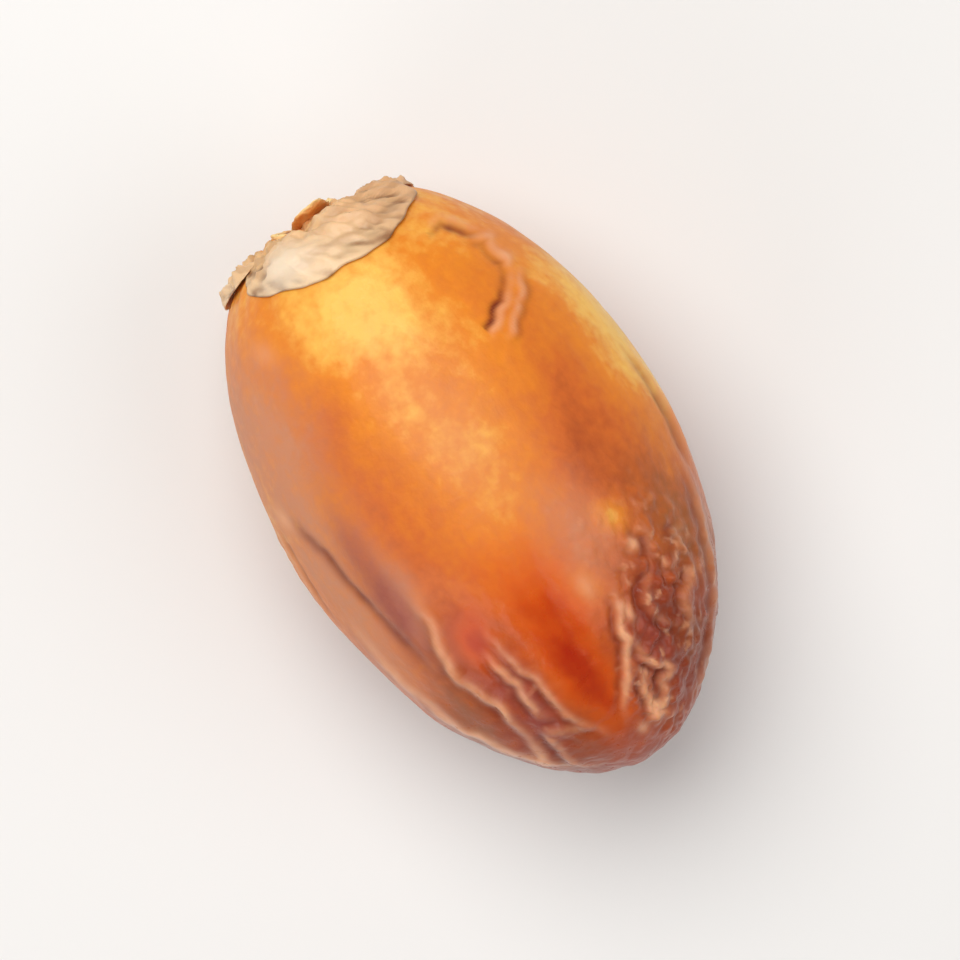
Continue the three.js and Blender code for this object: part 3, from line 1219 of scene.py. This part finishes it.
@dataclass
class Petal:
    """One dry petal: a crumpled scale pressed tight to the shoulder, which laps over the next one.

    Attributes:
        form: The fruit that it lies on.
        number: Which petal it is, from 1.
        outer: Its outer radius.
        first_turn: The turn of the first petal's middle.
        inner: Its inner radius.
        half_span: How far it reaches to each side, in degrees.
        thickness: At its middle.
        gap: How far it stands off the skin.
        tilt: How much higher its lapping side stands, as a share of the distance from the axis.
        fold: How high its folds are.
        hoop: How high its hoops are.
        lump: How strong its one smooth lump is, from 0 to 1.
        lump_height: How high a full lump is.
        rings: Rings of vertices on each face.
        sectors: Vertices round each ring.
    """

    form: FruitForm
    number: int
    outer: float
    first_turn: float = 8
    inner: float = 1.6
    half_span: float = 66
    thickness: float = 0.36
    gap: float = 0.04
    tilt: float = 0.03
    fold: float = 0.8
    hoop: float = 0.06
    lump: float = 0.0
    lump_height: float = 0.5
    rings: int = 40
    sectors: int = 220

    def build(self) -> bpy.types.Object:
        """Builds the petal's mesh and dresses it."""
        bearing = np.tile(np.arange(self.sectors) * 2 * np.pi / self.sectors, self.rings * 2 - 1)
        steps = np.concatenate([np.arange(1, self.rings + 1), np.arange(self.rings - 1, 0, -1)]) / self.rings
        reach = np.repeat(steps, self.sectors)
        upper = np.repeat(np.where(np.arange(2 * self.rings - 1) < self.rings, 1.0, 0.0), self.sectors)
        reach = np.concatenate([[0], reach, [0]])
        bearing = np.concatenate([[0], bearing, [0]])
        upper = np.concatenate([[1], upper, [0]])
        points, masks = self.place(reach, bearing, upper)
        faces = ring_faces(2 * self.rings - 1, self.sectors)
        piece = mesh_piece(f"date_petal_{self.number}", points, faces, masks)
        piece.data.materials.append(PetalFinish().material())
        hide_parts(f"petal_{self.number}")
        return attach(piece, "root")

    def place(self, reach: np.ndarray, bearing: np.ndarray, upper: np.ndarray) -> tuple[np.ndarray, Masks]:
        """Places the petal's vertices.

        Args:
            reach: How far each is from the petal's middle, 1 at the rim.
            bearing: Its direction from there, in radians.
            upper: 1 on the outer face and 0 on the inner one.

        Returns:
            The vertices, and the masks that the finish reads.
        """
        seed = 100 + 10 * self.number
        rim = np.stack([np.cos(bearing), np.sin(bearing), np.zeros_like(bearing)], axis=1)
        ragged = 1 + 0.06 * reach**3 * Waves(seed).at(rim * 3)
        across = np.cos(bearing) * reach * ragged
        outward = np.sin(bearing) * reach * ragged
        radius = self.inner + (self.outer - self.inner) * np.clip((1 + outward) / 2, 0, 1.1)
        turn = self.first_turn + (self.number - 1) * 120 - self.half_span * across
        polar = self.form.polar_at(radius)
        folds, hoops = self._folds(across, outward, radius)
        body = self.thickness * np.sqrt(np.clip(1 - reach**5, 0, 1))
        tilt = self.tilt * (1 - across) / 2 * radius
        lump = self.lump * bell(np.hypot((across - 0.42) / 0.2, (outward - 0.62) / 0.26), 1)
        relief = (self.fold * folds + self.hoop * hoops) * (1 - lump) + self.lump_height * lump
        raised = body + relief * ease(1.02, 0.8, reach)
        lift = self.gap + tilt + upper * np.maximum(raised, 0.05)
        points = self.form.skin(polar, turn) + self.form.normals(polar, turn) * lift[:, None]
        masks = {
            "outward": np.clip((radius - self.inner) / (self.outer - self.inner), 0, 1),
            # Painted shade where the folds and hoops dip.
            "hollow": np.clip(ease(-0.1, -0.7, folds) + 0.3 * ease(-0.2, -0.9, hoops), 0, 1),
            # Painted shade that grows towards +Y.
            "dull": ease(-1, 5, points[:, 1]),
            "bleached": lump,
        }
        return points, masks

    def _folds(
        self, across: np.ndarray, outward: np.ndarray, radius: np.ndarray
    ) -> tuple[np.ndarray, np.ndarray]:
        """Shapes the crumpled folds and the fine hoops beside the rim, both from about -1 to 1."""
        seed = 103 + 10 * self.number
        flat = np.stack([across * 5 + outward * 2.4, outward * 4, np.zeros_like(across)], axis=1)
        crumple = Waves(seed, (1.9, 2.2, 1), 3).at(flat)
        sharp = 0.5 - 1.6 * np.abs(Waves(seed + 1, (0.7, 1.5, 1)).at(flat))
        hoops = np.sin(radius * 5.2 + 2 * Waves(seed + 2, (2.4, 2.4, 2.4), 1).at(flat))
        return 0.9 * crumple + 0.5 * sharp, hoops * ease(3.5, 5.5, radius)


@dataclass
class SepalCup:
    """The woody cup of three joined sepals, with the torn scar of the strand in its hollow.

    Attributes:
        form: The fruit that it sits on.
        radius: Its mean outer radius.
        height: Its mean height.
        lobe_height: How much higher each lobe stands, as a share.
        lobe_spread: How much wider each lobe is, as a share.
        first_lobe: The turn of the first lobe.
        tongue: How much longer the first lobe is than the others, as a share of the radius.
        tongue_span: How far it reaches to each side of its middle, in degrees.
        offset: How far it sits from the fruit's axis, on the side of its first lobe.
        sink: How much closer to the fruit it sits than the frame's cup, since these petals are thinner.
        section: Its section from the middle of the base round the rim to the middle of the floor, as shares.
        sectors: Vertices round each ring.
        fineness: Rings of vertices between two points of the section.
    """

    form: FruitForm
    radius: float = 2.2
    height: float = 0.95
    lobe_height: float = 0.4
    lobe_spread: float = 0.2
    first_lobe: float = 10
    tongue: float = 1.2
    tongue_span: float = 30
    offset: float = 0.6
    sink: float = 0.3
    section: tuple[tuple[float, float], ...] = (
        (0, 0),
        (0.5, 0),
        (0.82, 0.25),
        (1, 0.62),
        (1, 0.88),
        (0.9, 1),
        (0.78, 0.94),
        (0.66, 0.66),
        (0.45, 0.45),
        (0.25, 0.5),
        (0, 0.62),
    )
    sectors: int = 160
    fineness: int = 7

    def build(self) -> bpy.types.Object:
        """Builds the cup's mesh and dresses it."""
        across, up, path = self._section()
        rings = len(across) - 2
        turn_steps = np.arange(self.sectors) * 360 / self.sectors
        turn = np.concatenate([[0], np.tile(turn_steps, rings), [0]])
        spread = [
            np.concatenate([[values[0]], np.repeat(values[1:-1], self.sectors), [values[-1]]])
            for values in (across, up, path)
        ]
        points, masks = self.place(turn, *spread)
        piece = mesh_piece("date_sepal_cup", points, ring_faces(rings, self.sectors), masks)
        piece.data.flip_normals()
        piece.data.materials.append(CupFinish().material())
        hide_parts("sepal_cup")
        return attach(piece, "root")

    def _section(self) -> tuple[np.ndarray, np.ndarray, np.ndarray]:
        """Rounds the section off and divides it finely.

        Returns:
            How far across and how far up each point is, as shares, and how far along the section.
        """
        given = np.array(self.section, float)
        fine = np.linspace(0, len(given) - 1, (len(given) - 1) * self.fineness + 1)
        curve = np.stack([np.interp(fine, np.arange(len(given)), given[:, axis]) for axis in (0, 1)], axis=1)
        kernel = np.ones(self.fineness) / self.fineness
        pad = self.fineness // 2
        before = curve[1 : pad + 1][::-1] * (-1, 1)
        after = curve[-pad - 1 : -1][::-1] * (-1, 1)
        padded = np.concatenate([before, curve, after])
        soft = np.stack([np.convolve(padded[:, axis], kernel, "valid") for axis in (0, 1)], axis=1)
        soft[0, 0] = soft[-1, 0] = 0
        return soft[:, 0], soft[:, 1], np.linspace(0, 1, len(soft))

    def place(
        self, turn: np.ndarray, across: np.ndarray, up: np.ndarray, path: np.ndarray
    ) -> tuple[np.ndarray, Masks]:
        """Places the cup's vertices on the frame's cup.

        Args:
            turn: Each vertex's turn, in degrees.
            across: How far it is from the axis, as a share of the radius.
            up: How far it is from the base, as a share of the height.
            path: How far along the section it is, from 0 to 1.

        Returns:
            The vertices, and the masks that the finish reads.
        """
        base_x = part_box("sepal_cup")[1].x / METRES + self.sink
        first = math.radians(self.first_lobe)
        middle_y = self.form.shift[1] + self.offset * math.sin(first)
        middle_z = self.form.shift[2] + self.offset * math.cos(first)
        angle = np.radians(turn)
        lobe = np.cos(3 * (angle - first))
        from_first = (turn - self.first_lobe + 180) % 360 - 180
        spread = self.lobe_spread * lobe + self.tongue * bell(from_first, self.tongue_span)
        base = np.stack([up * 1.6, np.sin(angle) * across * 2.2, np.cos(angle) * across * 2.8], axis=1)
        crumple = Waves(151, count=4, gain=0.6).at(base)
        height = up * self.height * (1 + self.lobe_height * lobe * up) + 0.2 * crumple * ease(0.1, 0.5, up)
        radius = across * self.radius * (1 + spread * up)
        radius = radius * (1 + 0.12 * crumple * ease(0.1, 0.6, across))
        points = np.stack(
            [base_x - height, middle_y + np.sin(angle) * radius, middle_z + np.cos(angle) * radius], axis=1
        )
        masks = {
            # The lip, which also carries a painted highlight.
            "lip": bell(path - 0.52, 0.08),
            "hollow": ease(0.6, 0.72, path) * ease(0.97, 0.85, path),
            "scar": ease(0.86, 0.95, path),
        }
        return points, masks


# --- The studio -----------------------------------------------------------------------------------


@dataclass(frozen=True)
class SoftBox:
    """One large soft light.

    Attributes:
        name: Its name.
        place: Where it stands, in metres.
        size: How wide it is, in metres.
        power: In watts.
        colour: Its tint.
    """

    name: str
    place: tuple[float, float, float]
    size: float
    power: float
    colour: Colour = (1, 1, 1)

    def build(self, target: Vector) -> bpy.types.Object:
        """Builds the light, turned towards target."""
        lamp = bpy.data.lights.new(self.name, "AREA")
        lamp.shape = "DISK"
        lamp.size = self.size
        lamp.energy = self.power
        lamp.color = self.colour
        light = bpy.data.objects.new(self.name, lamp)
        light.location = self.place
        light.rotation_euler = (target - Vector(self.place)).to_track_quat("-Z", "Y").to_euler()
        light.visible_camera = False
        bpy.context.scene.collection.objects.link(light)
        return light


@dataclass
class Studio:
    """The pale floor, the soft lights and the camera straight above.

    Attributes:
        floor_radius: In metres.
        lens: In millimetres.
        view_width: How much floor the picture is wide, in metres.
        roll: How far the picture is turned, in degrees: the fruit's axis then runs down to the right.
        sky: The brightness all round.
        boxes: The lights.
    """

    floor_radius: float = 3.0
    lens: float = 200
    view_width: float = 0.062
    roll: float = 57
    sky: float = 0.26
    boxes: tuple[SoftBox, ...] = (
        SoftBox("key", (-0.2, -0.02, 0.4), 0.4, 1.75, (1.0, 0.98, 0.95)),
        SoftBox("fill", (0.25, 0.3, 0.4), 0.5, 0.85),
        SoftBox("edge", (0.2, -0.4, 0.25), 0.3, 0.5),
    )

    def build(self) -> None:
        """Builds the floor, the lights and the camera."""
        self._floor()
        low, high = CAD_BOX
        target = (low + high) / 2
        for box in self.boxes:
            box.build(target)
        world = bpy.data.worlds.new("studio")
        world.use_nodes = True
        background = world.node_tree.nodes["Background"]
        background.inputs["Color"].default_value = (1, 1, 1, 1)
        background.inputs["Strength"].default_value = self.sky
        bpy.context.scene.world = world
        bpy.context.scene.view_settings.view_transform = "Standard"
        self._camera(target)

    def _floor(self) -> None:
        """Builds the floor: one round sheet."""
        count = 96
        angles = np.arange(count) * 2 * np.pi / count
        rim = np.stack([np.cos(angles), np.sin(angles), np.zeros(count)], axis=1) * self.floor_radius / METRES
        floor = mesh_piece("floor", rim, [tuple(range(count))], {})
        floor.data.materials.append(FloorFinish().material())

    def _camera(self, target: Vector) -> None:
        """Builds the camera, looking straight down at target."""
        lens = bpy.data.cameras.new("camera")
        lens.lens = self.lens
        lens.clip_start, lens.clip_end = 0.01, 10
        camera = bpy.data.objects.new("camera", lens)
        distance = self.view_width / 2 / (lens.sensor_width / 2 / self.lens)
        camera.location = target + Vector((0, 0, distance))
        camera.rotation_euler = (0, 0, math.radians(self.roll))
        bpy.context.scene.collection.objects.link(camera)
        bpy.context.scene.camera = camera


def main() -> None:
    """Builds the date and its studio in order, and reports each piece."""
    logging.basicConfig(level=logging.INFO, format="%(name)s: %(message)s")
    form = FruitForm()
    form.settle(*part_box("fruit"))
    built = [Fruit(form).build()]
    lumps = (0.8, 0.0, 0.0)
    petals = enumerate(zip(PETAL_OUTER_RADII, lumps), 1)
    built += [Petal(form, number, outer, lump=lump).build() for number, (outer, lump) in petals]
    built.append(SepalCup(form).build())
    for piece in built:
        LOG.info("%s: %d vertices", piece.name, len(piece.data.vertices))
    Studio().build()


if __name__ == "__main__":
    main()
